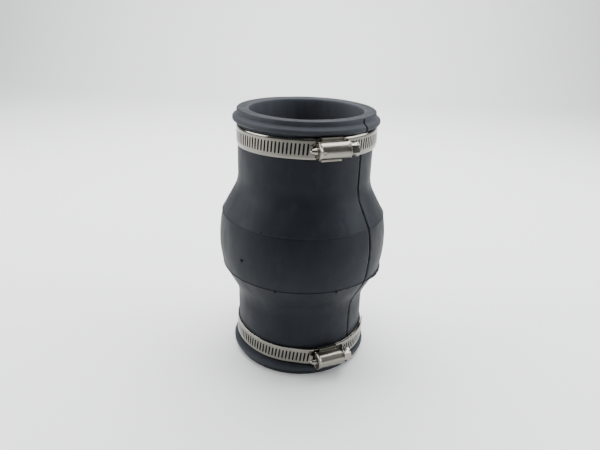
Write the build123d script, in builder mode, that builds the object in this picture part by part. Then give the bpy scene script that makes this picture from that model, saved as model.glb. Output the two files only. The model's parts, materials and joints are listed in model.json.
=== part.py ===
from build123d import *
from math import acos, cos, degrees, pi, radians, sin, sqrt
import os

# Single-arch rubber expansion joint with clamp ends, for a 76 mm (DN65) pipe.
# Millimetres. +Z runs up the flow axis, and the origin is on that axis at the lower end face.

# --- rubber body
overall_length = 178.6
bore_r = 38.0
wall = 7.5
cover_thickness = 2.5
ply_thickness = 0.9
ply_setback = 6.0
neck_r = bore_r + wall
lip_r = 46.2
lip_height = 3.2
lip_edge = 0.8
bead_r = 48.4
bead_crest = 5.6
bead_end = 7.9
cuff_length = 42.0
flare_corner = 50.0
flare_bend_r = 25.0
belt_edge = 70.2
belt_edge_r = 56.2
belt_crown_r = 58.6
flash_height = 0.6
flash_width = 0.9

# --- worm-drive clamps
band_width = 12.7
band_thickness = 0.65
layer_gap = 0.05
slot_pitch = 2.5
slot_width = 1.25
slot_length = 7.2
saddle_thickness = 0.5
saddle_length = 13.6
saddle_width = 14.4
flange_thickness = 0.7
flange_height = 2.0
shell_length = 19.4
shell_inner_r = 4.3
shell_outer_r = 5.1
collar_r = 5.7
collar_length = 0.8
end_wall = 0.7
foot_thickness = 0.65
tip_hole_r = 1.9
neck_hole_r = 3.08
thread_r = 4.0
core_r = 3.2
thread_bite = 0.45
thread_root_width = 0.8
thread_crest_width = 0.35
thread_turns = 5.5
thread_runout = 0.5
screw_neck_r = 3.0
tip_r = 1.8
tip_reach = 4.6
head_flats = 8.0
head_length = 5.0
head_collar_r = 4.6
head_collar_length = 0.9
head_slot_width = 1.25
head_slot_depth = 1.6
head_float = 0.1
ramp_bend_r = 24.0
fixed_end_reach = 6.0
band_mouth = 9.0
tail_start = 8.8
tail_sweep = 64.0
tail_corner_r = 2.5

# Each clamp: name, inner radius of its band, height of its ring's centre, lean of the ring,
# the bearing its low side leans to, and the bearing of its housing. Bearings are degrees
# round the flow axis from -Y towards +X.
clamps = [
    ("lower", 46.05, 17.9, 3.2, 28.0, 25.0),
    ("upper", 45.72, overall_length - 16.25, 1.1, 270.0, 19.0),
]


def save(part, name):
    """Label one finished piece and write its STEP."""
    part.label = name
    export_step(part, f"parts/{name}.step")


# Depths below the outer surface at which the layers of the wall begin and end.
layers = {
    "cover": (0.0, cover_thickness),
    "outer_ply": (cover_thickness, cover_thickness + ply_thickness),
    "inner_ply": (cover_thickness + ply_thickness, cover_thickness + 2 * ply_thickness),
    "liner": (cover_thickness + 2 * ply_thickness, wall),
}


def cuff_cover(height):
    """The cuff's outer rubber: lip, bead and seat for the clamp, closed over the plies' edge."""
    with BuildPart() as piece:
        with BuildSketch(Plane.XZ):
            with BuildLine():
                FilletPolyline(
                    (neck_r - layers["inner_ply"][1], height(0)),
                    (lip_r, height(0)),
                    (lip_r, height(lip_height)),
                    radius=lip_edge,
                )
                Spline(
                    (lip_r, height(lip_height)),
                    (bead_r, height(bead_crest)),
                    (neck_r, height(bead_end)),
                )
                Polyline(
                    (neck_r, height(bead_end)),
                    (neck_r, height(cuff_length)),
                    (neck_r - cover_thickness, height(cuff_length)),
                    (neck_r - cover_thickness, height(ply_setback)),
                    (neck_r - layers["inner_ply"][1], height(ply_setback)),
                    (neck_r - layers["inner_ply"][1], height(0)),
                )
            make_face()
        revolve(axis=Axis.Z)
    return piece.part


def cuff_sleeve(layer, height):
    """A plain sleeve of the cuff: a cord ply, short of the end face, or the liner, flush with it."""
    top_depth, bottom_depth = layers[layer]
    start = 0 if layer == "liner" else ply_setback
    with BuildPart() as piece:
        with BuildSketch(Plane.XZ):
            with BuildLine():
                Polyline(
                    (neck_r - bottom_depth, height(start)),
                    (neck_r - top_depth, height(start)),
                    (neck_r - top_depth, height(cuff_length)),
                    (neck_r - bottom_depth, height(cuff_length)),
                    close=True,
                )
            make_face()
        revolve(axis=Axis.Z)
    return piece.part


def flank_edge(depth, height):
    """The flank's line at a depth: up the neck, round the flare and out to the belt."""
    FilletPolyline(
        (neck_r - depth, height(cuff_length)),
        (neck_r - depth, height(flare_corner)),
        (belt_edge_r - depth, height(belt_edge)),
        radius=flare_bend_r,
    )


def flank(layer, height):
    """One layer of the arch's conical side."""
    top_depth, bottom_depth = layers[layer]
    with BuildPart() as piece:
        with BuildSketch(Plane.XZ):
            with BuildLine():
                flank_edge(top_depth, height)
                flank_edge(bottom_depth, height)
                for start, z in ((neck_r, height(cuff_length)), (belt_edge_r, height(belt_edge))):
                    Line((start - top_depth, z), (start - bottom_depth, z))
            make_face()
        revolve(axis=Axis.Z)
    return piece.part


def belt(layer):
    """One layer of the arch's crowned belt, the cover's with a line of flash along each edge."""
    top_depth, bottom_depth = layers[layer]
    low = belt_edge
    high = overall_length - belt_edge
    with BuildPart() as piece:
        with BuildSketch(Plane.XZ):
            with BuildLine():
                for depth in (top_depth, bottom_depth):
                    ThreePointArc(
                        (belt_edge_r - depth, low),
                        (belt_crown_r - depth, overall_length / 2),
                        (belt_edge_r - depth, high),
                    )
                for z in (low, high):
                    Line((belt_edge_r - top_depth, z), (belt_edge_r - bottom_depth, z))
            make_face()
            if layer == "cover":
                for edge, inward in ((low, 1), (high, -1)):
                    with BuildLine():
                        Polyline(
                            (belt_edge_r - flash_height, edge),
                            (belt_edge_r + flash_height, edge),
                            (belt_edge_r - flash_height, edge + inward * flash_width * 2),
                            close=True,
                        )
                    make_face()
        revolve(axis=Axis.Z)
    return piece.part


def from_bottom(distance):
    """Height of a point by its distance from the lower end face."""
    return distance


def from_top(distance):
    """Height of a point by its distance from the upper end face."""
    return overall_length - distance


def ring_plane(centre_height, lean, lean_bearing, housing_bearing):
    """A clamp's own plane: x out through the housing, y towards the screw's head, z up the ring."""
    low_side = radians(lean_bearing)
    to_housing = radians(housing_bearing)
    return Plane(
        origin=(0, 0, centre_height),
        x_dir=(sin(to_housing), -cos(to_housing), 0),
        z_dir=(
            sin(radians(lean)) * sin(low_side),
            -sin(radians(lean)) * cos(low_side),
            cos(radians(lean)),
        ),
    )


def screw_plane(ring, axis_r):
    """Across the screw: x up the ring, y outwards, z towards the screw's head."""
    origin = ring.from_local_coords((axis_r, 0, 0))
    return Plane(origin=origin, x_dir=ring.z_dir, z_dir=ring.y_dir)


def polar(radius, angle):
    """A point of a clamp's own plane."""
    return Vector(radius, 0).rotate(Axis.Z, angle)


def cut_slots(radius, first, count):
    """Cut slots through the band at the worm's pitch, leaning to suit its lead."""
    lean = degrees(slot_pitch / (2 * pi * thread_r))
    step = degrees(slot_pitch / radius)
    depth = 4 * band_thickness
    with PolarLocations(radius, count, first, count * step):
        Box(depth, slot_width, slot_length, rotation=(-lean, 0, 0), mode=Mode.SUBTRACT)


def strip_outline(inner_r, thickness, first, last):
    """The outline of a strip bent round the ring's axis from one angle to another."""
    for radius in (inner_r, inner_r + thickness):
        CenterArc((0, 0), radius, first, last - first)
    for angle in (first, last):
        Line(polar(inner_r, angle), polar(inner_r + thickness, angle))


def band_loop(ring, inner_r, tail_inner_r):
    """The band once round the neck, from its fixed end to where it climbs into the housing."""
    first = -degrees(fixed_end_reach / inner_r)
    last = 360 - degrees(band_mouth / tail_inner_r)
    rise = tail_inner_r - inner_r
    straight = sqrt(rise * (tail_inner_r + inner_r - 2 * ramp_bend_r))
    ramp = degrees(acos((inner_r - ramp_bend_r) / (tail_inner_r - ramp_bend_r)))
    top_run = 2
    lift_off = last - ramp - top_run
    along = polar(straight, lift_off + 90)
    bend_centre = polar(inner_r - ramp_bend_r, lift_off) + along
    with BuildPart(ring) as piece:
        with BuildSketch(ring):
            with BuildLine():
                for out in (0, band_thickness):
                    foot = polar(inner_r + out, lift_off)
                    CenterArc((0, 0), inner_r + out, first, lift_off - first)
                    Line(foot, foot + along)
                    CenterArc(bend_centre, ramp_bend_r + out, lift_off, ramp)
                    CenterArc((0, 0), tail_inner_r + out, lift_off + ramp, top_run)
                for angle, radius in ((first, inner_r), (last, tail_inner_r)):
                    Line(polar(radius, angle), polar(radius + band_thickness, angle))
            make_face()
        extrude(amount=band_width / 2, both=True)
        middle_r = inner_r + band_thickness / 2
        past_saddle = degrees(saddle_length / middle_r)
        before_mouth = last - top_run
        count = int((before_mouth - past_saddle) / degrees(slot_pitch / middle_r))
        cut_slots(middle_r, past_saddle, count)
    return piece.part


def band_tail(ring, inner_r):
    """The band's free end, from the housing's mouth, under the screw and out past its head."""
    first = -degrees(tail_start / inner_r)
    middle_r = inner_r + band_thickness / 2
    step = degrees(slot_pitch / middle_r)
    with BuildPart(ring) as piece:
        with BuildSketch(ring):
            with BuildLine():
                strip_outline(inner_r, band_thickness, first, tail_sweep)
            make_face()
        extrude(amount=band_width / 2, both=True)
        tip = ring.from_local_coords(polar(middle_r, tail_sweep))
        corners = piece.edges().filter_by(lambda edge: edge.length < 1.5 * band_thickness)
        fillet(corners.sort_by_distance(tip)[:2], radius=tail_corner_r)
        behind_screw = int(-first / step - 0.5)
        ahead_of_screw = int(tail_sweep / step - 1.5)
        cut_slots(middle_r, -behind_screw * step, behind_screw + 1 + ahead_of_screw)
    return piece.part


def saddle(ring, inner_r):
    """The plate between the band's two layers, with a flange up each side of the outer one."""
    half_angle = degrees(saddle_length / 2 / inner_r)
    base = inner_r * cos(radians(half_angle))
    top = inner_r + flange_height
    with BuildPart(ring) as piece:
        with BuildSketch(ring):
            with BuildLine():
                strip_outline(inner_r, saddle_thickness, -half_angle, half_angle)
            make_face()
            with Locations(((base + top) / 2, 0)):
                Rectangle(top - base, saddle_length)
            Circle(inner_r, mode=Mode.SUBTRACT)
        extrude(amount=saddle_width / 2, both=True)
        with BuildSketch(ring):
            with Locations(((base + top) / 2, 0)):
                Rectangle(top - base, 2 * saddle_length)
            Circle(inner_r + saddle_thickness, mode=Mode.SUBTRACT)
        hollow = saddle_width / 2 - flange_thickness
        extrude(amount=hollow, both=True, mode=Mode.SUBTRACT)
    return piece.part


def housing(ring, axis_r, foot_r):
    """The screw's shell: a barrel open towards the band, lipped ends, and a foot down each side."""
    across = screw_plane(ring, axis_r)
    floor = foot_r - axis_r
    half = shell_length / 2
    with BuildPart() as piece:
        with BuildSketch(across):
            Circle(shell_outer_r)
            Circle(shell_inner_r, mode=Mode.SUBTRACT)
        extrude(amount=half, both=True)
        for start in (-half, half - collar_length):
            with BuildSketch(across.offset(start)):
                Circle(collar_r)
                Circle(shell_inner_r, mode=Mode.SUBTRACT)
            extrude(amount=collar_length)
        for start, hole_r in ((-half, tip_hole_r), (half - end_wall, neck_hole_r)):
            with BuildSketch(across.offset(start)):
                Circle(shell_outer_r)
                Circle(hole_r, mode=Mode.SUBTRACT)
            extrude(amount=end_wall)
        with BuildSketch(across.offset(-half)):
            with Locations((0, floor - collar_r)):
                Rectangle(4 * collar_r, 2 * collar_r)
        extrude(amount=shell_length, mode=Mode.SUBTRACT)
        inner_reach = sqrt(shell_inner_r**2 - floor**2)
        foot_width = saddle_width / 2 - inner_reach
        with BuildSketch(across.offset(-saddle_length / 2)):
            for side in (-1, 1):
                with Locations((side * (inner_reach + foot_width / 2), floor + foot_thickness / 2)):
                    Rectangle(foot_width, foot_thickness)
            Circle(shell_inner_r, mode=Mode.SUBTRACT)
        extrude(amount=saddle_length)
    return piece.part


def worm_screw():
    """The worm with its tip, neck, collar and slotted hexagon head, upright on its own axis."""
    worm_end = thread_turns * slot_pitch / 2
    half = shell_length / 2
    collar_top = half + head_float + head_collar_length
    head_top = collar_top + head_length
    with BuildPart() as piece:
        with BuildSketch(Plane.XY.offset(-worm_end - thread_runout)):
            Circle(core_r)
        extrude(amount=2 * (worm_end + thread_runout))
        with BuildSketch(Plane.XY.offset(-half - tip_reach)):
            Circle(tip_r)
        extrude(amount=half + tip_reach - worm_end)
        fillet(piece.edges().sort_by(Axis.Z)[0], radius=0.9 * tip_r)
        with BuildSketch(Plane.XY.offset(worm_end)):
            Circle(screw_neck_r)
        extrude(amount=half + head_float - worm_end)
        with BuildSketch(Plane.XY.offset(half + head_float)):
            Circle(head_collar_r)
        extrude(amount=head_collar_length)
        with BuildSketch(Plane.XY.offset(collar_top)):
            RegularPolygon(head_flats / 2, 6, major_radius=False)
        extrude(amount=head_length)
        with BuildSketch(Plane.XY.offset(head_top - head_slot_depth)):
            Rectangle(head_slot_width, 3 * head_flats)
        extrude(amount=head_slot_depth, mode=Mode.SUBTRACT)
        with BuildLine() as lead:
            Helix(slot_pitch, 2 * worm_end, core_r, center=(0, 0, -worm_end))
        section = Plane(origin=lead.line @ 0, x_dir=(1, 0, 0), z_dir=lead.line % 0)
        with BuildSketch(section):
            with BuildLine():
                Polyline(
                    (-thread_crest_width / 2, -thread_root_width / 2),
                    (thread_r - core_r, -thread_crest_width / 2),
                    (thread_r - core_r, thread_crest_width / 2),
                    (-thread_crest_width / 2, thread_root_width / 2),
                    close=True,
                )
            make_face()
        sweep(path=lead.line, is_frenet=True)
    return piece.part


def clamp(name, inner_r, ring):
    """All five pieces of one clamp, from the neck outwards."""
    plate_inner_r = inner_r + band_thickness + layer_gap
    tail_inner_r = plate_inner_r + saddle_thickness + layer_gap
    axis_r = tail_inner_r + band_thickness + thread_r - thread_bite
    across = screw_plane(ring, axis_r)
    save(band_loop(ring, inner_r, tail_inner_r), f"{name}_band_loop")
    save(saddle(ring, plate_inner_r), f"{name}_saddle")
    save(band_tail(ring, tail_inner_r), f"{name}_band_tail")
    save(housing(ring, axis_r, plate_inner_r + flange_height), f"{name}_housing")
    save(worm_screw().moved(across.location), f"{name}_worm_screw")


os.makedirs("parts", exist_ok=True)

for end, height in (("lower", from_bottom), ("upper", from_top)):
    save(cuff_cover(height), f"{end}_cuff_cover")
    for layer in ("outer_ply", "inner_ply", "liner"):
        save(cuff_sleeve(layer, height), f"{end}_cuff_{layer}")
    for layer in layers:
        save(flank(layer, height), f"{end}_flank_{layer}")

for layer in layers:
    save(belt(layer), f"belt_{layer}")

for name, inner_r, centre_height, lean, lean_bearing, housing_bearing in clamps:
    clamp(name, inner_r, ring_plane(centre_height, lean, lean_bearing, housing_bearing))
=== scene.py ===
# Rubber expansion joint with two hose clamps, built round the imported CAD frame.
import json
import math
import bpy
from mathutils import Matrix, Vector


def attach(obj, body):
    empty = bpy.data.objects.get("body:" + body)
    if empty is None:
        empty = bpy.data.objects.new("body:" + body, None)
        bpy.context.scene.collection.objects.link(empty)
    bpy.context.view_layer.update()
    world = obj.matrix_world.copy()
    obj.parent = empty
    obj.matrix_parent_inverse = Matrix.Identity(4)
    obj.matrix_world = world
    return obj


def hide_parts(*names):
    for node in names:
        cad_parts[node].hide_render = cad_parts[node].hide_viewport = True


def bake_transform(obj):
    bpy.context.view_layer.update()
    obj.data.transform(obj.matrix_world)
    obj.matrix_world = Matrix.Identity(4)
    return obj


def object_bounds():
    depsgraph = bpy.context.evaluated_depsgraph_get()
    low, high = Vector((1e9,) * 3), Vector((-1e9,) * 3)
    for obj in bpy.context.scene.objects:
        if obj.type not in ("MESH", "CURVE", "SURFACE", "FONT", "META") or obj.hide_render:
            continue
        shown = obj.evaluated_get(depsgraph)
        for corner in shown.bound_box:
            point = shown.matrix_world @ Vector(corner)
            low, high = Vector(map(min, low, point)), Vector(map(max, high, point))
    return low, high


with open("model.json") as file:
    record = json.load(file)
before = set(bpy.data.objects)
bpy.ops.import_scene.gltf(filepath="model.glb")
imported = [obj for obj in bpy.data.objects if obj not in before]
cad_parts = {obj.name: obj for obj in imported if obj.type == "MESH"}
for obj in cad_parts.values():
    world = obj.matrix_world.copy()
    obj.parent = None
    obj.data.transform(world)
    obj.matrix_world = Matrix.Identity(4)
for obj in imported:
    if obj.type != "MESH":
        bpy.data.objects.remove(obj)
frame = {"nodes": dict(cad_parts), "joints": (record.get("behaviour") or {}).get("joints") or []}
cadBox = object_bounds()
mm = 0.001
jointHeight = cadBox[1][2]


def deselectAll():
    if bpy.context.mode != "OBJECT":
        bpy.ops.object.mode_set(mode="OBJECT")
    bpy.ops.object.select_all(action="DESELECT")


def makeActive(piece):
    deselectAll()
    piece.select_set(True)
    bpy.context.view_layer.objects.active = piece


def editAll(piece):
    makeActive(piece)
    bpy.ops.object.mode_set(mode="EDIT")
    bpy.ops.mesh.select_all(action="SELECT")


def pick(piece, test, kind="VERT"):
    # select vertices, edges or faces in edit mode by their place
    makeActive(piece)
    bpy.ops.object.mode_set(mode="EDIT")
    bpy.ops.mesh.select_mode(type=kind)
    bpy.ops.mesh.select_all(action="DESELECT")
    bpy.ops.object.mode_set(mode="OBJECT")
    mesh = piece.data
    found = 0
    if kind == "VERT":
        for vertex in mesh.vertices:
            vertex.select = test(vertex.co)
            found += vertex.select
    elif kind == "EDGE":
        for edge in mesh.edges:
            edge.select = all(test(mesh.vertices[i].co) for i in edge.vertices)
            found += edge.select
    else:
        for face in mesh.polygons:
            face.select = test(face.center)
            found += face.select
    bpy.ops.object.mode_set(mode="EDIT")
    return found


def finishMesh(piece, sharp):
    # merge, turn the faces outwards and smooth all but the sharp edges
    editAll(piece)
    bpy.ops.mesh.remove_doubles(threshold=0.004 * mm)
    bpy.ops.mesh.normals_make_consistent(inside=False)
    bpy.ops.object.mode_set(mode="OBJECT")
    bpy.ops.object.shade_smooth_by_angle(angle=math.radians(sharp))


def evenNormals(piece):
    # flat faces stay flat beside their bevels
    applyModifier(piece, "WEIGHTED_NORMAL", keep_sharp=True, weight=60)


def applyModifier(piece, kind, **settings):
    makeActive(piece)
    modifier = piece.modifiers.new(kind.title(), kind)
    for name, value in settings.items():
        setattr(modifier, name, value)
    bpy.ops.object.modifier_apply(modifier=modifier.name)


def placeMesh(piece, matrix):
    # put a piece made at the origin in its place, in its mesh
    piece.data.transform(matrix)
    piece.data.update()


def smoothStep(value):
    value = min(max(value, 0), 1)
    return value * value * (3 - 2 * value)


class Wire:
    # a socket that takes part in Python sums
    def __init__(self, tree, socket):
        self.tree = tree
        self.socket = socket

    def math(self, operation, *others):
        node = self.tree.nodes.new("ShaderNodeMath")
        node.operation = operation
        for place, value in enumerate((self,) + others):
            join(self.tree, value, node.inputs[place])
        return Wire(self.tree, node.outputs[0])

    def __add__(self, other):
        return self.math("ADD", other)

    def __radd__(self, other):
        return self.math("ADD", other)

    def __sub__(self, other):
        return self.math("SUBTRACT", other)

    def __rsub__(self, other):
        node = self.tree.nodes.new("ShaderNodeMath")
        node.operation = "SUBTRACT"
        join(self.tree, other, node.inputs[0])
        join(self.tree, self, node.inputs[1])
        return Wire(self.tree, node.outputs[0])

    def __mul__(self, other):
        return self.math("MULTIPLY", other)

    def __rmul__(self, other):
        return self.math("MULTIPLY", other)

    def between(self, low, high):
        # 0 below low, 1 above high, smooth in between
        node = self.tree.nodes.new("ShaderNodeMapRange")
        node.interpolation_type = "SMOOTHSTEP"
        join(self.tree, self, node.inputs["Value"])
        node.inputs["From Min"].default_value = low
        node.inputs["From Max"].default_value = high
        return Wire(self.tree, node.outputs["Result"])


def join(tree, value, socket):
    if isinstance(value, Wire):
        tree.links.new(value.socket, socket)
    else:
        socket.default_value = value


class Finish:
    # one material and the nodes that it is made of
    def __init__(self, name, viewColour):
        self.material = bpy.data.materials.new(name)
        self.material.use_nodes = True
        self.material.diffuse_color = (*viewColour, 1)
        self.tree = self.material.node_tree
        self.shader = self.tree.nodes["Principled BSDF"]

    def node(self, kind, settings=None, output=0, **sockets):
        made = self.tree.nodes.new("ShaderNode" + kind)
        for name, value in (settings or {}).items():
            setattr(made, name, value)
        for name, value in sockets.items():
            join(self.tree, value, made.inputs[name.replace("_", " ")])
        return Wire(self.tree, made.outputs[output])

    def place(self):
        return self.node("TexCoord", output="Object")

    def noise(self, vector, scale, detail, roughness=0.55):
        return self.node(
            "TexNoise", Vector=vector, Scale=scale, Detail=detail, Roughness=roughness
        )

    def stretched(self, vector, scale):
        return self.node("Mapping", Vector=vector, Scale=scale)

    def attribute(self, name):
        return self.node("Attribute", {"attribute_name": name}, "Fac")

    def mix(self, share, first, second):
        made = self.tree.nodes.new("ShaderNodeMix")
        made.data_type = "RGBA"
        join(self.tree, share, made.inputs[0])
        join(self.tree, first, made.inputs[6])
        join(self.tree, second, made.inputs[7])
        return Wire(self.tree, made.outputs[2])

    def bump(self, height, distance, strength, under=None):
        made = self.tree.nodes.new("ShaderNodeBump")
        made.inputs["Strength"].default_value = strength
        made.inputs["Distance"].default_value = distance
        join(self.tree, height, made.inputs["Height"])
        if under is not None:
            join(self.tree, under, made.inputs["Normal"])
        return Wire(self.tree, made.outputs[0])

    def set(self, **sockets):
        for name, value in sockets.items():
            join(self.tree, value, self.shader.inputs[name.replace("_", " ")])


def tinted(value, tint):
    return (value * tint[0], value * tint[1], value * tint[2], 1)


rubberLook = {
    "viewColour": (0.05, 0.05, 0.055),
    "tint": (0.84, 0.96, 1.22),
    "dark": 0.0065,
    "light": 0.012,
    "cloudScale": 28,
    "smearScale": 90,
    "smearStretch": (1, 1, 0.35),
    "dust": 0.05,
    "smearDust": 0.2,
    "speckDust": 0.35,
    "speckScale": 1400,
    "lining": (0.046, 0.062),
    "liningTint": (0.9, 0.97, 1.12),
    "liningRough": 0.1,
    # painted shade: the near-black colour and its share along the seams and vent nubs
    "seamPaintedShade": 0.0015,
    "paintedShadeShare": 0.9,
    "seamRough": 0.15,
    "gloss": (0.5, 0.64),
    "specular": 0.19,
    "specularTint": (0.78, 0.86, 1, 1),
    "grainScale": 2600,
    "grainDepth": 0.05 * mm,
    "peelScale": 160,
    "peelDepth": 0.22 * mm,
}


def rubberFinish(name, look):
    finish = Finish(name, look["viewColour"])
    place = finish.place()
    cloud = finish.noise(place, look["cloudScale"], 4)
    smear = finish.noise(
        finish.stretched(place, look["smearStretch"]), look["smearScale"], 5, 0.6
    )
    speck = finish.noise(place, look["speckScale"], 2)
    grain = finish.noise(place, look["grainScale"], 2)
    peel = finish.noise(place, look["peelScale"], 3)
    lining = finish.attribute("lining")
    # the seam attribute carries painted shade along the parting line, the flash and the vent nubs
    seam = finish.attribute("seam")
    tint = look["tint"]
    liningDark, liningLight = look["lining"]
    outside = finish.mix(
        cloud.between(0.3, 0.7), tinted(look["dark"], tint), tinted(look["light"], tint)
    )
    inside = finish.mix(
        smear.between(0.35, 0.7),
        tinted(liningDark, look["liningTint"]), tinted(liningLight, look["liningTint"]),
    )
    smeared = smear.between(0.52, 0.78) * look["smearDust"]
    specked = speck.between(0.68, 0.78) * look["speckDust"]
    dusty = finish.mix(
        smeared + specked, finish.mix(lining, outside, inside), tinted(look["dust"], tint)
    )
    low, high = look["gloss"]
    worn = low + smear.between(0.3, 0.75) * (high - low)
    finish.set(
        Base_Color=finish.mix(seam * look["paintedShadeShare"], dusty, tinted(look["seamPaintedShade"], tint)),
        Roughness=worn + seam * look["seamRough"] + lining * look["liningRough"],
        Normal=finish.bump(
            grain, look["grainDepth"], 0.5, finish.bump(peel, look["peelDepth"], 0.35)
        ),
        Specular_IOR_Level=look["specular"],
        Specular_Tint=look["specularTint"],
    )
    return finish.material


steelLook = {
    "band": {
        "colour": (0.19, 0.181, 0.16), "rough": (0.13, 0.2),
        "lineScale": 225, "lineDepth": 0.004 * mm,
    },
    "housing": {
        "colour": (0.25, 0.238, 0.205), "rough": (0.26, 0.36),
        "lineScale": 125, "lineDepth": 0.006 * mm,
    },
    "screw": {
        "colour": (0.28, 0.268, 0.235), "rough": (0.2, 0.3),
        "lineScale": 175, "lineDepth": 0.008 * mm,
    },
    "lineStretch": (1, 1, 14),
    "dull": 0.78,
    "blotchScale": 140,
    "blotchDepth": 0.05 * mm,
    "pitScale": 2200,
}


def steelFinish(part):
    look = steelLook[part]
    finish = Finish(part + "_steel", look["colour"])
    place = finish.place()
    rolled = finish.noise(
        finish.stretched(place, steelLook["lineStretch"]), look["lineScale"], 3
    )
    blotch = finish.noise(place, steelLook["blotchScale"], 4, 0.6)
    pits = finish.noise(place, steelLook["pitScale"], 2)
    tone = blotch.between(0.25, 0.8)
    low, high = look["rough"]
    finish.set(
        Base_Color=finish.mix(
            tone * 0.7 + pits.between(0.6, 0.75) * 0.3,
            tinted(1, look["colour"]), tinted(steelLook["dull"], look["colour"]),
        ),
        Metallic=1.0,
        Roughness=low + (rolled.between(0.3, 0.8) * 0.6 + tone * 0.4) * (high - low),
        Normal=finish.bump(
            rolled, look["lineDepth"], 0.6, finish.bump(blotch, steelLook["blotchDepth"], 0.4)
        ),
    )
    return finish.material


coverRubber = rubberFinish("charcoal_rubber", rubberLook)
bandSteel = steelFinish("band")
housingSteel = steelFinish("housing")
screwSteel = steelFinish("screw")
print("materials made")


body = {
    "segments": 320,
    "rowHeight": 1.0 * mm,
    "innerRowHeight": 2.2 * mm,
    "boreRadius": 38 * mm,
    "boreEdge": 1.7 * mm,
    "lipRadius": 46.15 * mm,
    "lipEdge": 0.9 * mm,
    "lipHeight": 3.2 * mm,
    "lipFoot": 3.0 * mm,
    "beadRadius": 49.0 * mm,
    "beadTop": 5.1 * mm,
    "beadCrest": 6.3 * mm,
    "beadFoot": 7.6 * mm,
    "beadEnd": 9.0 * mm,
    "neckRadius": 45.5 * mm,
    "flareCorner": 50 * mm,
    "flareBend": 25 * mm,
    "seam": 70.2 * mm,
    "seamRadius": 56.2 * mm,
    # least painted shade on the flash ring
    "seamPaintedShade": 0.35,
    "crownRadius": 58.5 * mm,
    "wall": 7.5 * mm,
    "flashHeight": 0.4 * mm,
    "flashWidth": 0.35 * mm,
    # the fin's shadow below it is painted shade
    "flashFin": {
        "bearing": 76, "reach": 27, "height": 0.8 * mm, "droop": 1.2 * mm, "shadow": 1.3 * mm
    },
    "partingBearing": 50,
    "partingWidth": 0.6 * mm,
    "partingGroove": 0.35 * mm,
    "partingHeight": 0.5 * mm,
    "partingWander": 0.3 * mm,
    "partingWaves": (7 * mm, 2.3 * mm),
    # painted shade share beside the parting line
    "partingSidePaintedShade": 0.85,
    "onLine": 0.05 * mm,
    "notchStart": 0.5 * mm,
    "notchDepth": 0.7 * mm,
    "waviness": 0.4 * mm,
    "liningStart": 0.5 * mm,
    "liningFade": 1.2 * mm,
    "cuffDust": 0.5,
    "cuffDustFade": 4 * mm,
    "nubRoot": 0.4 * mm,
    # painted shade share on the vent nubs
    "nubPaintedShade": 0.9,
    "ventNubs": (
        (-27.5, 109.2 * mm, 0.35 * mm, 0.4 * mm),
        (-16.5, 69.6 * mm, 0.75 * mm, 0.9 * mm),
        (24.8, 69.7 * mm, 0.75 * mm, 0.9 * mm),
        (-41.5, 86.2 * mm, 0.95 * mm, 0.8 * mm),
        (140, 109 * mm, 0.6 * mm, 0.8 * mm),
        (205, 69.8 * mm, 0.6 * mm, 0.8 * mm),
    ),
}


def roundedLine(corners, step):
    # points along straight runs with each corner turned as an arc of its radius
    points = []
    for index, (radius, height, bend) in enumerate(corners):
        here = Vector((radius, height))
        if bend == 0 or index in (0, len(corners) - 1):
            addPoint(points, here, step)
            continue
        before = (Vector(corners[index - 1][:2]) - here).normalized()
        after = (Vector(corners[index + 1][:2]) - here).normalized()
        turn = math.pi - before.angle(after)
        reach = bend * math.tan(turn / 2)
        centre = here + (before + after).normalized() * bend / math.cos(turn / 2)
        start = here + before * reach
        addPoint(points, start, step)
        arm = start - centre
        side = 1 if arm.cross(here + after * reach - centre) > 0 else -1
        steps = max(4, int(bend * turn / step) + 1)
        for part in range(1, steps + 1):
            swing = side * turn * part / steps
            turned = Matrix.Rotation(swing, 2) @ arm
            points.append(centre + turned)
    return points


def addPoint(points, target, step):
    # go straight on to a point in even steps
    if not points:
        points.append(target)
        return
    start = points[-1]
    count = max(1, math.ceil((target - start).length / step))
    for part in range(1, count + 1):
        points.append(start.lerp(target, part / count))


def crownPoints(look, depth, step):
    # the belt's long arc from one seam to the other
    half = jointHeight / 2 - look["seam"]
    rise = look["crownRadius"] - look["seamRadius"]
    arcRadius = (half * half + rise * rise) / (2 * rise)
    swing = math.asin(half / arcRadius)
    count = int(2 * half / step)
    middle = look["crownRadius"] - arcRadius - depth
    return [
        (middle + arcRadius * math.cos(angle), jointHeight / 2 + arcRadius * math.sin(angle), 0)
        for angle in (swing * (2 * part / count - 1) for part in range(count + 1))
    ]


def upsideDown(corners):
    return [(radius, jointHeight - height, bend) for radius, height, bend in reversed(corners)]


def bodyOutline(look):
    outerFoot = [
        (look["lipRadius"], 0, look["lipEdge"]),
        (look["lipRadius"], look["lipFoot"], 0.7 * mm),
        (look["beadRadius"], look["beadTop"], 1.6 * mm),
        (look["beadRadius"], look["beadFoot"], 1.5 * mm),
        (look["neckRadius"], look["beadEnd"], 0.4 * mm),
        (look["neckRadius"], look["flareCorner"], look["flareBend"]),
        (look["seamRadius"], look["seam"] - look["flashWidth"], 0.15 * mm),
        (look["seamRadius"] + look["flashHeight"], look["seam"], 0),
    ]
    crown = crownPoints(look, 0, look["rowHeight"])
    crown[0] = (look["seamRadius"] + 0.05 * mm, look["seam"] + look["flashWidth"], 0)
    crown[-1] = (crown[0][0], jointHeight - crown[0][1], 0)
    innerFoot = [
        (look["boreRadius"], 0, look["boreEdge"]),
        (look["boreRadius"], look["flareCorner"], look["flareBend"]),
        (look["seamRadius"] - look["wall"], look["seam"], 4 * mm),
    ]
    innerCrown = crownPoints(look, look["wall"], look["innerRowHeight"])[1:-1]
    middle = (look["lipRadius"] + look["boreRadius"]) / 2
    foot, top = [(middle, 0, 0)], [(middle, jointHeight, 0)]
    outer = foot + outerFoot + crown + upsideDown(outerFoot) + top
    inner = foot + innerFoot + innerCrown + upsideDown(innerFoot) + top
    return roundedLine(outer, look["rowHeight"]), roundedLine(inner, look["innerRowHeight"])


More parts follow.
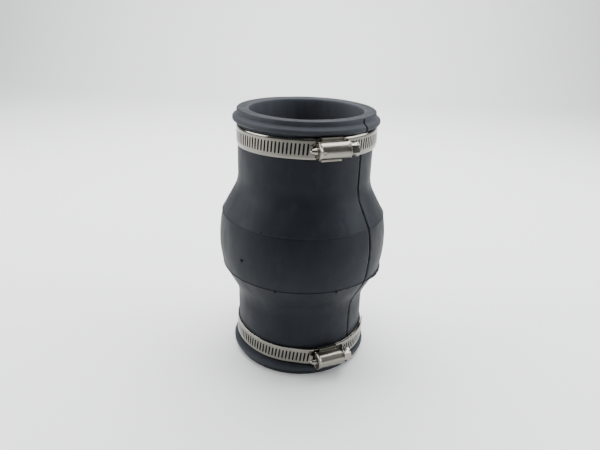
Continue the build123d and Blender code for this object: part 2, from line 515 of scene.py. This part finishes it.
def spinOutline(name, points, segments, bearing):
    # one vertex is pulled along the outline, and the line is spun round the flow axis
    bpy.ops.mesh.primitive_plane_add(size=2 * mm, location=(0, 0, 0))
    piece = bpy.context.object
    piece.name = name
    bpy.ops.object.mode_set(mode="EDIT")
    bpy.ops.mesh.merge(type="CENTER")
    bpy.ops.transform.translate(value=(points[0].x, 0, points[0].y))
    for start, end in zip(points, points[1:] + points[:1]):
        step = end - start
        bpy.ops.mesh.extrude_region_move(TRANSFORM_OT_translate={"value": (step.x, 0, step.y)})
    bpy.ops.mesh.select_all(action="SELECT")
    bpy.ops.mesh.remove_doubles(threshold=0.01 * mm)
    bpy.ops.mesh.spin(steps=segments, angle=math.tau, center=(0, 0, 0), axis=(0, 0, 1))
    bpy.ops.mesh.select_all(action="SELECT")
    bpy.ops.mesh.remove_doubles(threshold=0.02 * mm)
    bpy.ops.mesh.normals_make_consistent(inside=False)
    bpy.ops.object.mode_set(mode="OBJECT")
    placeMesh(piece, Matrix.Rotation(math.radians(bearing - 90), 4, "Z"))
    return piece


deselectAll()
outerLine, innerLine = bodyOutline(body)
skin = spinOutline(
    "rubber_body", outerLine + innerLine[-2:0:-1], body["segments"], body["partingBearing"]
)
print("body spun:", len(skin.data.vertices), "vertices")


def polar(radius, bearing, height):
    angle = math.radians(bearing - 90)
    return Vector((radius * math.cos(angle), radius * math.sin(angle), height))


def radiusAt(line, height):
    # the outline's radius at a height between its end faces
    for start, end in zip(line, line[1:]):
        if start.y <= height <= end.y and end.y > start.y:
            return start.lerp(end, (height - start.y) / (end.y - start.y)).x
    return line[1].x


def nearBearing(point, bearing, reach):
    angle = math.radians(bearing - 90)
    side = point.x * -math.sin(angle) + point.y * math.cos(angle)
    out = point.x * math.cos(angle) + point.y * math.sin(angle)
    return abs(side) < reach and out > 0


def outsideSkin(point):
    # true on the outer surface, away from the end faces
    inside = radiusAt(outerLine, point.z) - body["wall"] / 2
    margin = 0.5 * mm
    return point.xy.length > inside and margin < point.z < jointHeight - margin


def addVents(look):
    # stubs of rubber left in the mould's vent holes, darkened with painted shade
    stubs = []
    for bearing, height, radius, length in look["ventNubs"]:
        deselectAll()
        out = radiusAt(outerLine, height) - look["nubRoot"] + length / 2
        bpy.ops.mesh.primitive_cylinder_add(
            vertices=14, radius=radius, depth=length + 2 * look["nubRoot"],
            location=polar(out, bearing, height),
            rotation=(0, math.radians(90), math.radians(bearing - 90)),
        )
        stub = bpy.context.object
        bpy.ops.object.transform_apply(location=True, rotation=True, scale=True)
        applyModifier(stub, "BEVEL", width=0.35 * radius, segments=2)
        # painted shade on the whole stub
        shade = stub.data.attributes.new("seam", "FLOAT", "POINT")
        for mark in shade.data:
            mark.value = look["nubPaintedShade"]
        stubs.append(stub)
    deselectAll()
    for stub in stubs:
        stub.select_set(True)
    skin.select_set(True)
    bpy.context.view_layer.objects.active = skin
    bpy.ops.object.join()


def raiseParting(look):
    # the line where the halves of the mould met, down both sides, darkened with painted shade
    lines = (look["partingBearing"], look["partingBearing"] + 180)
    near = look["onLine"]
    for bearing in lines:
        pick(skin, lambda point: nearBearing(point, bearing, near) and outsideSkin(point), "EDGE")
        bpy.ops.mesh.bevel(offset=look["partingWidth"], segments=2, profile=0.5)
        bpy.ops.object.mode_set(mode="OBJECT")
    raised, paintedShades = {}, {}
    beside = look["partingWidth"] + 0.04 * mm
    longWave, shortWave = look["partingWaves"]
    for bearing in lines:
        for vertex in skin.data.vertices:
            point = vertex.co
            if not outsideSkin(point) or not nearBearing(point, bearing, beside):
                continue
            onLine = nearBearing(point, bearing, near)
            # painted shade along the line and its sides
            paintedShades[vertex.index] = 1 if onLine else look["partingSidePaintedShade"]
            if onLine:
                raised[vertex.index] = 1
            drift = math.sin(point.z / longWave) + 0.6 * math.sin(point.z / shortWave)
            place = Matrix.Rotation(look["partingWander"] * drift / point.xy.length, 3, "Z") @ point
            if look["notchStart"] < jointHeight - point.z < look["lipHeight"]:
                place.xy *= 1 - look["notchDepth"] / place.xy.length
            elif not onLine:
                place.xy *= 1 - look["partingGroove"] / place.xy.length
            vertex.co = place
    shadeSeam("parting", raised, paintedShades)


def shadeSeam(name, lifts, shades):
    # a group to displace, and the painted shade that darkens the line
    group = skin.vertex_groups.new(name=name)
    for index, share in lifts.items():
        group.add([index], share, "REPLACE")
    mesh = skin.data
    if "seam" not in mesh.attributes:
        mesh.attributes.new("seam", "FLOAT", "POINT")
    layer = mesh.attributes["seam"].data
    for index, share in shades.items():
        layer[index].value = share


def flashGroup(look):
    # the ragged edge where the belt's ring met the halves, tallest low on one side, with painted
    # shade on the edge and a painted shadow in the rows below the fin
    fin = look["flashFin"]
    mesh = skin.data
    near = 0.06 * mm
    tipRadius = look["seamRadius"] + 0.3 * look["flashHeight"]
    lifts, shades = {}, {}
    for height in (look["seam"], jointHeight - look["seam"]):
        for vertex in mesh.vertices:
            point = vertex.co.copy()
            bearing = math.degrees(math.atan2(point.x, -point.y))
            share = smoothStep(1.6 - 1.6 * abs(bearing - fin["bearing"]) / fin["reach"])
            share = share if height == look["seam"] else 0
            # painted shadow: the rows just below the fin are darkened
            if near < height - point.z < fin["shadow"] and outsideSkin(point) and share > 0:
                shades[vertex.index] = max(share, mesh.attributes["seam"].data[vertex.index].value)
            if abs(point.z - height) > near or point.xy.length < tipRadius:
                continue
            lifts[vertex.index] = 0.4 + 0.6 * share
            # painted shade on the flash ring itself
            shades[vertex.index] = max(look["seamPaintedShade"], share)
            point.xy *= 1 + fin["height"] * share / point.xy.length
            point.z -= fin["droop"] * share
            vertex.co = point
    shadeSeam("flash", lifts, shades)


def markLining(look):
    # how dull with mould dust: all of the bore, and half as much outside near the ends
    mesh = skin.data
    mesh.attributes.new("lining", "FLOAT", "POINT")
    layer = mesh.attributes["lining"].data
    pastEdge = 1.5 * mm
    for vertex, mark in zip(mesh.vertices, layer):
        bore = radiusAt(innerLine, min(max(vertex.co.z, pastEdge), jointHeight - pastEdge))
        depth = vertex.co.xy.length - bore - look["liningStart"]
        mark.value = 1 - smoothStep(depth / look["liningFade"])
        if outsideSkin(vertex.co):
            fromEnd = min(vertex.co.z, jointHeight - vertex.co.z)
            fade = smoothStep((fromEnd - look["beadCrest"]) / look["cuffDustFade"])
            mark.value = look["cuffDust"] * (1 - fade)


def roughen(name, size, strength, group, middle=0.5, depth=2):
    texture = bpy.data.textures.new(name, "CLOUDS")
    texture.noise_scale = size
    texture.noise_depth = depth
    applyModifier(
        skin, "DISPLACE", texture=texture, texture_coords="LOCAL", direction="NORMAL",
        strength=strength, mid_level=middle, vertex_group=group,
    )


raiseParting(body)
flashGroup(body)
markLining(body)
roughen("waves", 22 * mm, body["waviness"], "")
roughen("parting_beads", 2.2 * mm, 1.6 * body["partingHeight"], "parting", 0.2)
roughen("flash_edge", 1.6 * mm, 1.5 * body["flashHeight"], "flash", 0.5, 4)
addVents(body)
print("seams raised")

# the body is cut in rings at the joint planes; each end ring goes with its cuff, and each of the
# others spans one joint
rings = {
    "lower_neck": (None, 43 * mm, "lower_cuff", None),
    "lower_bellows": (43 * mm, 62 * mm, "lower_cuff", "lower_flank"),
    "lower_belt": (62 * mm, 84 * mm, "lower_flank", "belt"),
    "upper_belt": (84 * mm, 113 * mm, "belt", "upper_flank"),
    "upper_bellows": (113 * mm, jointHeight - 43 * mm, "upper_flank", "upper_cuff"),
    "upper_neck": (jointHeight - 43 * mm, None, "upper_cuff", None),
}
ringNodes = {
    "lower_neck": "lower_cuff", "lower_bellows": "lower_flank", "lower_belt": None,
    "upper_belt": "belt", "upper_bellows": "upper_flank", "upper_neck": "upper_cuff",
}
layerNames = ("cover", "outer_ply", "inner_ply", "liner")


def cutRings():
    # cut the skin at the joint planes and keep the whole skin's normals by place
    for _, high, _, _ in rings.values():
        if high is not None:
            editAll(skin)
            bpy.ops.mesh.bisect(plane_co=(0, 0, high), plane_no=(0, 0, 1), threshold=0.01 * mm)
            bpy.ops.object.mode_set(mode="OBJECT")
    finishMesh(skin, 50)
    mesh = skin.data
    normals = [Vector(corner.vector) for corner in mesh.corner_normals]
    rest = {}
    for loop, normal in zip(mesh.loops, normals):
        place = rounded(mesh.vertices[loop.vertex_index].co)
        rest.setdefault(place, []).append(normal)
    return rest


def rounded(point):
    return tuple(round(value, 7) for value in point)


def takeRing(name, low, high, restNormals):
    # one ring of the skin, with the whole skin's normals along its cut edges
    piece = skin.copy()
    piece.data = skin.data.copy()
    piece.name = name
    bpy.context.collection.objects.link(piece)
    low = -1 if low is None else low
    high = 1 if high is None else high
    pick(piece, lambda point: not low < point.z < high, "FACE")
    bpy.ops.mesh.delete(type="FACE")
    bpy.ops.object.mode_set(mode="OBJECT")
    mesh = piece.data
    kept = []
    for loop, corner in zip(mesh.loops, mesh.corner_normals):
        point = mesh.vertices[loop.vertex_index].co
        normal = Vector(corner.vector)
        if min(abs(point.z - low), abs(point.z - high)) < 0.02 * mm:
            options = restNormals.get(rounded(point))
            if options:
                normal = max(options, key=lambda option: option.dot(normal))
        kept.append(normal)
    mesh.normals_split_custom_set(kept)
    return piece


restNormals = cutRings()
for name, (low, high, first, second) in rings.items():
    ring = takeRing(name, low, high, restNormals)
    ring.data.materials.clear()
    ring.data.materials.append(coverRubber)
    if second is None:
        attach(ring, first)
    else:
        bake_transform(ring)
    if ringNodes[name]:
        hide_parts(*[f"{ringNodes[name]}_{layer}" for layer in layerNames])
bpy.data.objects.remove(skin)
print("body cut in rings")


def findJoint(name):
    return next(joint for joint in frame["joints"] if joint["name"] == name)


def clampFrame(end):
    # x out through the housing, y along the screw to its head, z up the ring
    turn = findJoint(end + "_clamp_turn")
    screw = findJoint(end + "_screw_turn")
    middle = Vector(turn["pos_m"])
    out = Vector(screw["pos_m"]) - middle
    axes = Matrix((out.normalized(), -Vector(screw["axis"]), Vector(turn["axis"]))).transposed()
    return Matrix.Translation(middle) @ axes.to_4x4(), out.length


band = {
    "width": 12.7 * mm,
    "thickness": 0.65 * mm,
    "pitch": 2.5 * mm,
    "slotWidth": 1.2 * mm,
    "slotLength": 7.2 * mm,
    "slotLean": 5.7,
    "edgeRound": 0.08 * mm,
    "rollWidth": 1.4 * mm,
    "rollDrop": 0.34 * mm,
    "plainStep": 1.6 * mm,
    "tipRound": 2.6 * mm,
    "loopBefore": 6 * mm,
    "loopShort": 9 * mm,
    "plainStart": 13 * mm,
    "plainEnd": 2.5 * mm,
    "lap": 1.25 * mm,
    "lapFrom": 21,
    "lapOver": 19,
    "tailBefore": 8.8 * mm,
    "tailSweep": 64,
    "plainTip": 4 * mm,
}


def slottedCell(look):
    # one pitch of band: a leaning slot joined to the oblong round it
    bpy.ops.mesh.primitive_circle_add(vertices=12, radius=look["slotWidth"] / 2)
    cell = bpy.context.object
    stretch = (look["slotLength"] - look["slotWidth"]) / 2
    for side in (1, -1):
        pick(cell, lambda point: point.y * side > 0.01 * mm)
        bpy.ops.transform.translate(value=(0, side * stretch, 0))
    editAll(cell)
    bpy.ops.transform.rotate(
        value=math.radians(look["slotLean"]), orient_axis="Z", center_override=(0, 0, 0)
    )
    deselectAll()
    bpy.ops.mesh.primitive_plane_add(size=1)
    border = bpy.context.object
    bpy.ops.object.mode_set(mode="EDIT")
    bpy.ops.transform.resize(value=(look["pitch"], look["width"], 1))
    bpy.ops.mesh.delete(type="ONLY_FACE")
    bpy.ops.mesh.select_all(action="SELECT")
    bpy.ops.mesh.subdivide(number_cuts=2)
    deselectAll()
    border.select_set(True)
    cell.select_set(True)
    bpy.context.view_layer.objects.active = cell
    bpy.ops.object.join()
    editAll(cell)
    bpy.ops.mesh.bridge_edge_loops()
    bpy.ops.object.mode_set(mode="OBJECT")
    return cell


def flatBand(name, look, cells, plainBefore, plainAfter, roundTip):
    strip = slottedCell(look)
    strip.name = name
    applyModifier(
        strip, "ARRAY", count=cells, use_relative_offset=False, use_constant_offset=True,
        constant_offset_displace=(look["pitch"], 0, 0), use_merge_vertices=True,
        merge_threshold=0.01 * mm,
    )
    low = -look["pitch"] / 2
    high = low + cells * look["pitch"]
    for edge, length, way in ((low, plainBefore, -1), (high, plainAfter, 1)):
        steps = max(1, round(length / look["plainStep"]))
        pick(strip, lambda point: abs(point.x - edge) < 0.02 * mm, "EDGE")
        for _ in range(steps):
            bpy.ops.mesh.extrude_region_move(
                TRANSFORM_OT_translate={"value": (way * length / steps, 0, 0)}
            )
        bpy.ops.object.mode_set(mode="OBJECT")
    if roundTip:
        tip = high + plainAfter - 0.01 * mm
        rim = look["width"] / 2 - 0.01 * mm
        pick(strip, lambda point: point.x > tip and abs(point.y) > rim)
        bpy.ops.mesh.bevel(offset=look["tipRound"], segments=6, affect="VERTICES")
        bpy.ops.object.mode_set(mode="OBJECT")
    for part in (0, 0.3, 0.6, 0.85):
        for side in (1, -1):
            row = side * (look["width"] / 2 - look["rollWidth"] * (1 - part))
            editAll(strip)
            bpy.ops.mesh.bisect(plane_co=(0, row, 0), plane_no=(0, 1, 0), threshold=0.01 * mm)
            bpy.ops.object.mode_set(mode="OBJECT")
    applyModifier(strip, "SOLIDIFY", thickness=look["thickness"], offset=0)
    applyModifier(
        strip, "BEVEL", width=look["edgeRound"], segments=2, limit_method="ANGLE",
        angle_limit=math.radians(50), use_clamp_overlap=True,
    )
    return strip


def bendBand(strip, radius, startAngle, startX, ramp=None):
    # wrap the flat strip round the ring: length becomes angle, thickness becomes radius
    mesh = strip.data
    flat = band["width"] / 2 - band["rollWidth"]
    for vertex in mesh.vertices:
        angle = startAngle + (vertex.co.x - startX) / radius
        rolled = max(0, abs(vertex.co.y) - flat) / band["rollWidth"]
        out = radius + vertex.co.z - band["rollDrop"] * rolled ** 2.2
        if ramp:
            out += ramp["rise"] * smoothStep((angle - ramp["from"]) / ramp["over"])
        vertex.co = (out * math.cos(angle), out * math.sin(angle), vertex.co.y)
    mesh.update()
    finishMesh(strip, 40)
    evenNormals(strip)


shell = {
    "length": 19.4 * mm,
    "radius": 4.95 * mm,
    "sheet": 0.8 * mm,
    "openAngle": 105,
    "sides": 72,
    "step": 0.55 * mm,
    "lip": 0.72 * mm,
    "lipLength": 1.5 * mm,
    "footLength": 13.6 * mm,
    "sideSteps": ((-0.75, 0.04), (-0.32, 0.14), (-0.14, 0.34), (-0.02, 1.05), (0, 1.0)),
    "plate": 0.7 * mm,
    "plateRadius": 4.6 * mm,
    "plateSides": 64,
    "floor": -2.5 * mm,
    "holes": (2.5 * mm, 3.08 * mm),
    "dimple": {"along": 2.6 * mm, "angle": 4, "radius": 1.15 * mm, "depth": 0.4 * mm},
    "edgeRound": 0.1 * mm,
}

screw = {
    "line": (
        (-14.3, 0.12), (-14.2, 0.42), (-13.75, 0.95), (-12.9, 1.6), (-11.7, 2.16), (-10.8, 2.36),
        (-10.3, 2.38), (-8.0, 2.38), (-7.6, 3.1), (-7.2, 3.15), (7.2, 3.15), (7.5, 3.0), (9.8, 3.0),
        (9.8, 4.45), (9.95, 4.6), (10.55, 4.6), (10.7, 4.4), (10.7, 3.2),
    ),
    "pitch": 2.5 * mm,
    "threadRadius": 4.0 * mm,
    "coreRadius": 3.05 * mm,
    "root": 0.8 * mm,
    "crest": 0.35 * mm,
    "headFlats": 8 * mm,
    "headTurn": -14,
    "head": (10.5 * mm, 15.7 * mm),
    "chamfer": 0.55 * mm,
    "slotWidth": 1.2 * mm,
    "slotDepth": 1.6 * mm,
    "slotTurn": 28,
    "edgeRound": 0.09 * mm,
    "sides": 48,
    "chamferSides": 96,
    "turns": 5,
    "turnSteps": 28,
}


def turnedTube(name, stations, count):
    # a circle is extruded and resized from station to station up the z axis
    deselectAll()
    height, radius = stations[0]
    bpy.ops.mesh.primitive_circle_add(vertices=count, radius=radius, location=(0, 0, height))
    piece = bpy.context.object
    piece.name = name
    bpy.ops.object.transform_apply(location=True, rotation=True, scale=True)
    bpy.ops.object.mode_set(mode="EDIT")
    for (fromHeight, fromRadius), (toHeight, toRadius) in zip(stations, stations[1:]):
        growStation(toHeight - fromHeight, toRadius / fromRadius, toHeight)
    bpy.ops.object.mode_set(mode="OBJECT")
    return piece


def growStation(rise, share, height):
    bpy.ops.mesh.extrude_region_move(TRANSFORM_OT_translate={"value": (0, 0, rise)})
    bpy.ops.transform.resize(value=(share, share, 1), center_override=(0, 0, height))


def capEnds(piece):
    editAll(piece)
    bpy.ops.mesh.fill_holes(sides=0)
    bpy.ops.mesh.normals_make_consistent(inside=False)
    bpy.ops.object.mode_set(mode="OBJECT")


def joinPieces(first, *others):
    deselectAll()
    for piece in (first,) + others:
        piece.select_set(True)
    bpy.context.view_layer.objects.active = first
    bpy.ops.object.join()


def pickSideEdges(piece, side, reach):
    # the open lower edges of the barrel on one side, as far as reach from its middle
    makeActive(piece)
    bpy.ops.object.mode_set(mode="EDIT")
    bpy.ops.mesh.select_mode(type="EDGE")
    bpy.ops.mesh.select_all(action="DESELECT")
    bpy.ops.object.mode_set(mode="OBJECT")
    mesh = piece.data
    uses = {}
    for face in mesh.polygons:
        for key in face.edge_keys:
            uses[key] = uses.get(key, 0) + 1
    for edge in mesh.edges:
        ends = [mesh.vertices[index].co for index in edge.vertices]
        alone = uses.get(edge.key, 0) == 1
        lengthwise = abs(ends[0].z - ends[1].z) > 0.1 * mm
        low = all(side * end.y > 0 and end.x < -1 * mm and abs(end.z) < reach for end in ends)
        edge.select = alone and lengthwise and low
    bpy.ops.object.mode_set(mode="EDIT")


def makeShell(name, look):
    # the screw's barrel with flared ends, a foot down each side and a plate in each end
    half = look["length"] / 2
    count = round(look["length"] / look["step"])
    stations = []
    for part in range(count + 1):
        height = look["length"] * part / count - half
        near = max(0, 1 - (half - abs(height)) / look["lipLength"])
        stations.append((height, look["radius"] + look["lip"] * near ** 1.8))
    barrel = turnedTube(name, stations, look["sides"])
    edge = look["radius"] * math.cos(math.radians(look["openAngle"])) - 0.05 * mm
    pick(barrel, lambda point: point.x < edge * point.xy.length / look["radius"])
    bpy.ops.mesh.delete(type="VERT")
    bpy.ops.object.mode_set(mode="OBJECT")
    for side in (1, -1):
        for row, (down, across) in enumerate(look["sideSteps"]):
            # the first two rows run the whole length, the foot's only its own
            pickSideEdges(barrel, side, half * 2 if row < 2 else look["footLength"] / 2)
            bpy.ops.mesh.extrude_region_move(
                TRANSFORM_OT_translate={"value": (down * mm, side * across * mm, 0)}
            )
            bpy.ops.object.mode_set(mode="OBJECT")
    applyModifier(barrel, "SOLIDIFY", thickness=look["sheet"], offset=0)
    dent = look["dimple"]
    outside = look["radius"] + look["sheet"] / 2
    angle = math.radians(dent["angle"])
    centre = Vector((outside * math.cos(angle), outside * math.sin(angle), dent["along"] - half))
    for vertex in barrel.data.vertices:
        away = (vertex.co - centre).length / dent["radius"]
        if away < 1:
            vertex.co.xy *= 1 - dent["depth"] * (1 - away * away) ** 2 / vertex.co.xy.length
    applyModifier(
        barrel, "BEVEL", width=look["edgeRound"], segments=2, limit_method="ANGLE",
        angle_limit=math.radians(40),
    )
    plates = []
    for hole, height in zip(look["holes"], (look["plate"] / 2 - half, half - look["plate"] / 2)):
        ring = ((height, look["plateRadius"]), (height, hole))
        plate = turnedTube(name + "_plate", ring, look["plateSides"])
        editAll(plate)
        bpy.ops.mesh.bisect(
            plane_co=(look["floor"], 0, 0), plane_no=(1, 0, 0), clear_inner=True,
            threshold=0.01 * mm,
        )
        bpy.ops.object.mode_set(mode="OBJECT")
        applyModifier(plate, "SOLIDIFY", thickness=look["plate"], offset=0)
        applyModifier(
            plate, "BEVEL", width=look["edgeRound"], segments=2, limit_method="ANGLE",
            angle_limit=math.radians(40),
        )
        plates.append(plate)
    joinPieces(barrel, *plates)
    finishMesh(barrel, 40)
    evenNormals(barrel)
    return barrel


def makeScrew(name, look):
    # tip, neck and collar in one line, a thread, and a chamfered hexagon head with a slot
    line = [(height * mm, radius * mm) for height, radius in look["line"]]
    core = turnedTube(name, line, look["sides"])
    capEnds(core)
    thread = makeThread(look)
    corner = look["headFlats"] / 2 / math.cos(math.radians(30))
    low, high = look["head"]
    deselectAll()
    bpy.ops.mesh.primitive_cylinder_add(
        vertices=6, radius=corner, depth=high - low, location=(0, 0, (low + high) / 2),
        rotation=(0, 0, math.radians(look["headTurn"])),
    )
    head = bpy.context.object
    bpy.ops.object.transform_apply(location=True, rotation=True, scale=True)
    cut = look["chamfer"]
    wide = corner + 0.2 * mm
    rounder = turnedTube("head_chamfer", (
        (low - 1 * mm, wide), (high - cut, wide), (high, corner - 1.4 * cut),
        (high + 0.2 * mm, corner - 1.9 * cut),
    ), look["chamferSides"])
    capEnds(rounder)
    combine(head, rounder, "INTERSECT")
    deselectAll()
    bpy.ops.mesh.primitive_cube_add(
        size=1, location=(0, 0, high), rotation=(0, 0, math.radians(look["slotTurn"]))
    )
    blade = bpy.context.object
    blade.scale = (look["slotWidth"], 3 * corner, 2 * look["slotDepth"])
    bpy.ops.object.transform_apply(location=True, rotation=True, scale=True)
    combine(head, blade, "DIFFERENCE")
    applyModifier(
        head, "BEVEL", width=look["edgeRound"], segments=2, limit_method="ANGLE",
        angle_limit=math.radians(25),
    )
    joinPieces(core, thread, head)
    finishMesh(core, 35)
    return core


def combine(piece, other, operation):
    applyModifier(piece, "BOOLEAN", object=other, operation=operation, solver="EXACT")
    bpy.data.objects.remove(other)


def makeThread(look):
    # a worm thread with its middle turn where the band passes under it
    deselectAll()
    width = look["threadRadius"] - look["coreRadius"]
    start = -look["turns"] / 2 * look["pitch"]
    bpy.ops.mesh.primitive_plane_add(size=1, rotation=(math.radians(90), 0, 0))
    thread = bpy.context.object
    thread.scale = (width, look["root"], 1)
    thread.location = (look["coreRadius"] + width / 2, 0, start)
    bpy.ops.object.transform_apply(location=True, rotation=True, scale=True)
    pick(thread, lambda point: point.x > look["coreRadius"] + width / 2)
    bpy.ops.transform.resize(
        value=(1, 1, look["crest"] / look["root"]), center_override=(0, 0, start)
    )
    bpy.ops.mesh.select_all(action="SELECT")
    bpy.ops.mesh.delete(type="ONLY_FACE")
    bpy.ops.object.mode_set(mode="OBJECT")
    applyModifier(
        thread, "SCREW", axis="Z", angle=math.tau, screw_offset=look["pitch"],
        iterations=look["turns"], steps=look["turnSteps"], render_steps=look["turnSteps"],
        use_merge_vertices=False,
    )
    editAll(thread)
    bpy.ops.mesh.remove_doubles(threshold=0.005 * mm)
    bpy.ops.mesh.fill_holes(sides=4)
    bpy.ops.mesh.normals_make_consistent(inside=False)
    bpy.ops.object.mode_set(mode="OBJECT")
    return thread


def makeClamp(end, innerRadius):
    # the band's far end climbs over its near end, and the free end goes on at that radius
    place, screwOut = clampFrame(end)
    middle = innerRadius + band["thickness"] / 2
    tailInner = innerRadius + band["lap"]
    tailMiddle = tailInner + band["thickness"] / 2
    loopStart = -band["loopBefore"] / innerRadius
    loopEnd = math.tau - band["loopShort"] / tailInner
    ramp = {
        "rise": tailMiddle - middle,
        "from": loopEnd - math.radians(band["lapFrom"]),
        "over": math.radians(band["lapOver"]),
    }
    loopLength = (loopEnd - loopStart) * middle
    plainStart = band["plainStart"]
    cells = int((loopLength - plainStart - band["plainEnd"]) / band["pitch"])
    plainEnd = loopLength - plainStart - cells * band["pitch"]
    loop = flatBand(end + "_band", band, cells, plainStart, plainEnd, False)
    bendBand(loop, middle, loopStart, -band["pitch"] / 2 - plainStart, ramp)
    tailStart = -band["tailBefore"] / tailInner
    tailEnd = math.radians(band["tailSweep"])
    behind = int(-tailStart * tailMiddle / band["pitch"] - 0.5)
    plainBefore = -tailStart * tailMiddle - (behind + 0.5) * band["pitch"]
    ahead = int((tailEnd * tailMiddle - band["plainTip"]) / band["pitch"] - 0.5)
    plainAfter = tailEnd * tailMiddle - (ahead + 0.5) * band["pitch"]
    tail = flatBand(end + "_band_end", band, behind + 1 + ahead, plainBefore, plainAfter, True)
    bendBand(tail, tailMiddle, tailStart, -band["pitch"] / 2 - plainBefore)
    barrel = makeShell(end + "_screw_shell", shell)
    worm = makeScrew(end + "_hex_screw", screw)
    # the screw's own axes: x out from the ring, z along the screw to its head
    alongScrew = Matrix(((1, 0, 0, screwOut), (0, 0, 1, 0), (0, -1, 0, 0), (0, 0, 0, 1)))
    for piece, node, bodyName, material, slot, where in (
        (loop, "_band_loop", "_clamp", bandSteel, "band_steel", place),
        (tail, "_band_tail", "_tail", bandSteel, "band_steel", place),
        (barrel, "_housing", "_clamp", housingSteel, "housing_steel", place @ alongScrew),
        (worm, "_worm_screw", "_screw", screwSteel, "screw_steel", place @ alongScrew),
    ):
        placeMesh(piece, where)
        piece.data.materials.clear()
        piece.data.materials.append(material)
        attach(piece, end + bodyName)
        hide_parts(end + node)
    saddle = frame["nodes"][end + "_saddle"]
    saddle.data.materials.clear()
    saddle.data.materials.append(housingSteel)
    print(end, "clamp made:", cells, "slots in the loop")


for end, innerRadius in (("lower", 46.05 * mm), ("upper", 45.72 * mm)):
    makeClamp(end, innerRadius)


studio = {
    "floorColour": (0.8, 0.81, 0.81, 1),
    "floorRough": 0.8,
    "floorReach": 6,
    "floorFront": 2.5,
    "sweepStart": 1.1,
    "sweepBend": 0.35,
    "sweepSteps": 20,
    "sweepHeight": 0.12,
    "worldColour": (0.95, 0.98, 1.05, 1),
    "worldStrength": 0.12,
    "lights": (
        ("top_box", (0, 0.35, 0.85), (0, 0.25, 0), (1.2, 0.9), 30, (1, 1, 1)),
        ("back_box", (0, 1.0, 1.1), (0, 1.9, 0), (1.5, 0.5), 18, (1, 1, 1)),
        ("left_box", (-0.9, -0.05, 0.4), (0, 0, 0.13), (0.7, 0.35), 8, (1, 0.99, 0.97)),
        ("right_box", (0.9, -0.05, 0.4), (0, 0, 0.13), (0.7, 0.35), 8, (0.97, 0.99, 1)),
        ("front_box", (0, -0.75, 1.3), (0, 0, 0.12), (0.6, 0.4), 4, (0.97, 0.99, 1)),
    ),
}


def makeStudio(look):
    # a pale floor that turns up into a backdrop
    deselectAll()
    reach = look["floorReach"]
    bpy.ops.mesh.primitive_plane_add(size=2 * reach, location=(0, 0, 0))
    floor = bpy.context.object
    floor.name = "floor"
    pick(floor, lambda point: point.y < 0, "EDGE")
    bpy.ops.transform.translate(value=(0, reach - look["floorFront"], 0))
    bpy.ops.object.mode_set(mode="OBJECT")
    pick(floor, lambda point: point.y > 0, "EDGE")
    bpy.ops.transform.translate(value=(0, look["sweepStart"] - reach, 0))
    bend = look["sweepBend"]
    turns = [math.radians(90) * part / look["sweepSteps"] for part in range(look["sweepSteps"] + 1)]
    for start, end in zip(turns, turns[1:]):
        bpy.ops.mesh.extrude_region_move(TRANSFORM_OT_translate={"value": (
            0, bend * (math.sin(end) - math.sin(start)), bend * (math.cos(start) - math.cos(end))
        )})
    bpy.ops.mesh.extrude_region_move(TRANSFORM_OT_translate={"value": (0, 0, look["sweepHeight"])})
    bpy.ops.object.mode_set(mode="OBJECT")
    bpy.ops.object.shade_smooth()
    paper = Finish("pale_paper", look["floorColour"][:3])
    paper.set(Base_Color=look["floorColour"], Roughness=look["floorRough"])
    floor.data.materials.append(paper.material)
    world = bpy.data.worlds.new("studio")
    bpy.context.scene.world = world
    world.use_nodes = True
    background = world.node_tree.nodes["Background"]
    background.inputs["Color"].default_value = look["worldColour"]
    background.inputs["Strength"].default_value = look["worldStrength"]
    for name, where, target, size, power, colour in look["lights"]:
        data = bpy.data.lights.new(name, "AREA")
        data.shape = "RECTANGLE"
        data.size, data.size_y = size
        data.energy = power
        data.color = colour
        lamp = bpy.data.objects.new(name, data)
        bpy.context.collection.objects.link(lamp)
        lamp.location = where
        lamp.visible_camera = False
        lamp.rotation_euler = (Vector(target) - Vector(where)).to_track_quat("-Z", "Y").to_euler()


view = {
    "distance": 362.3 * mm,
    "aboveTop": 64.4 * mm,
    "tiltDown": 22.25,
    "roll": 2.0,
    "pan": 0.26,
    "lens": 32.73,
    "sensor": 36,
    "nearest": 0.01,
}


def makeCamera(look):
    data = bpy.data.cameras.new("camera")
    data.lens = look["lens"]
    data.sensor_width = look["sensor"]
    data.clip_start = look["nearest"]
    camera = bpy.data.objects.new("camera", data)
    bpy.context.collection.objects.link(camera)
    bpy.context.scene.camera = camera
    camera.matrix_world = (
        Matrix.Translation((0, -look["distance"], jointHeight + look["aboveTop"]))
        @ Matrix.Rotation(math.radians(look["pan"]), 4, "Z")
        @ Matrix.Rotation(math.radians(90 - look["tiltDown"]), 4, "X")
        @ Matrix.Rotation(math.radians(look["roll"]), 4, "Z")
    )


makeStudio(studio)
makeCamera(view)
print("studio and camera set")
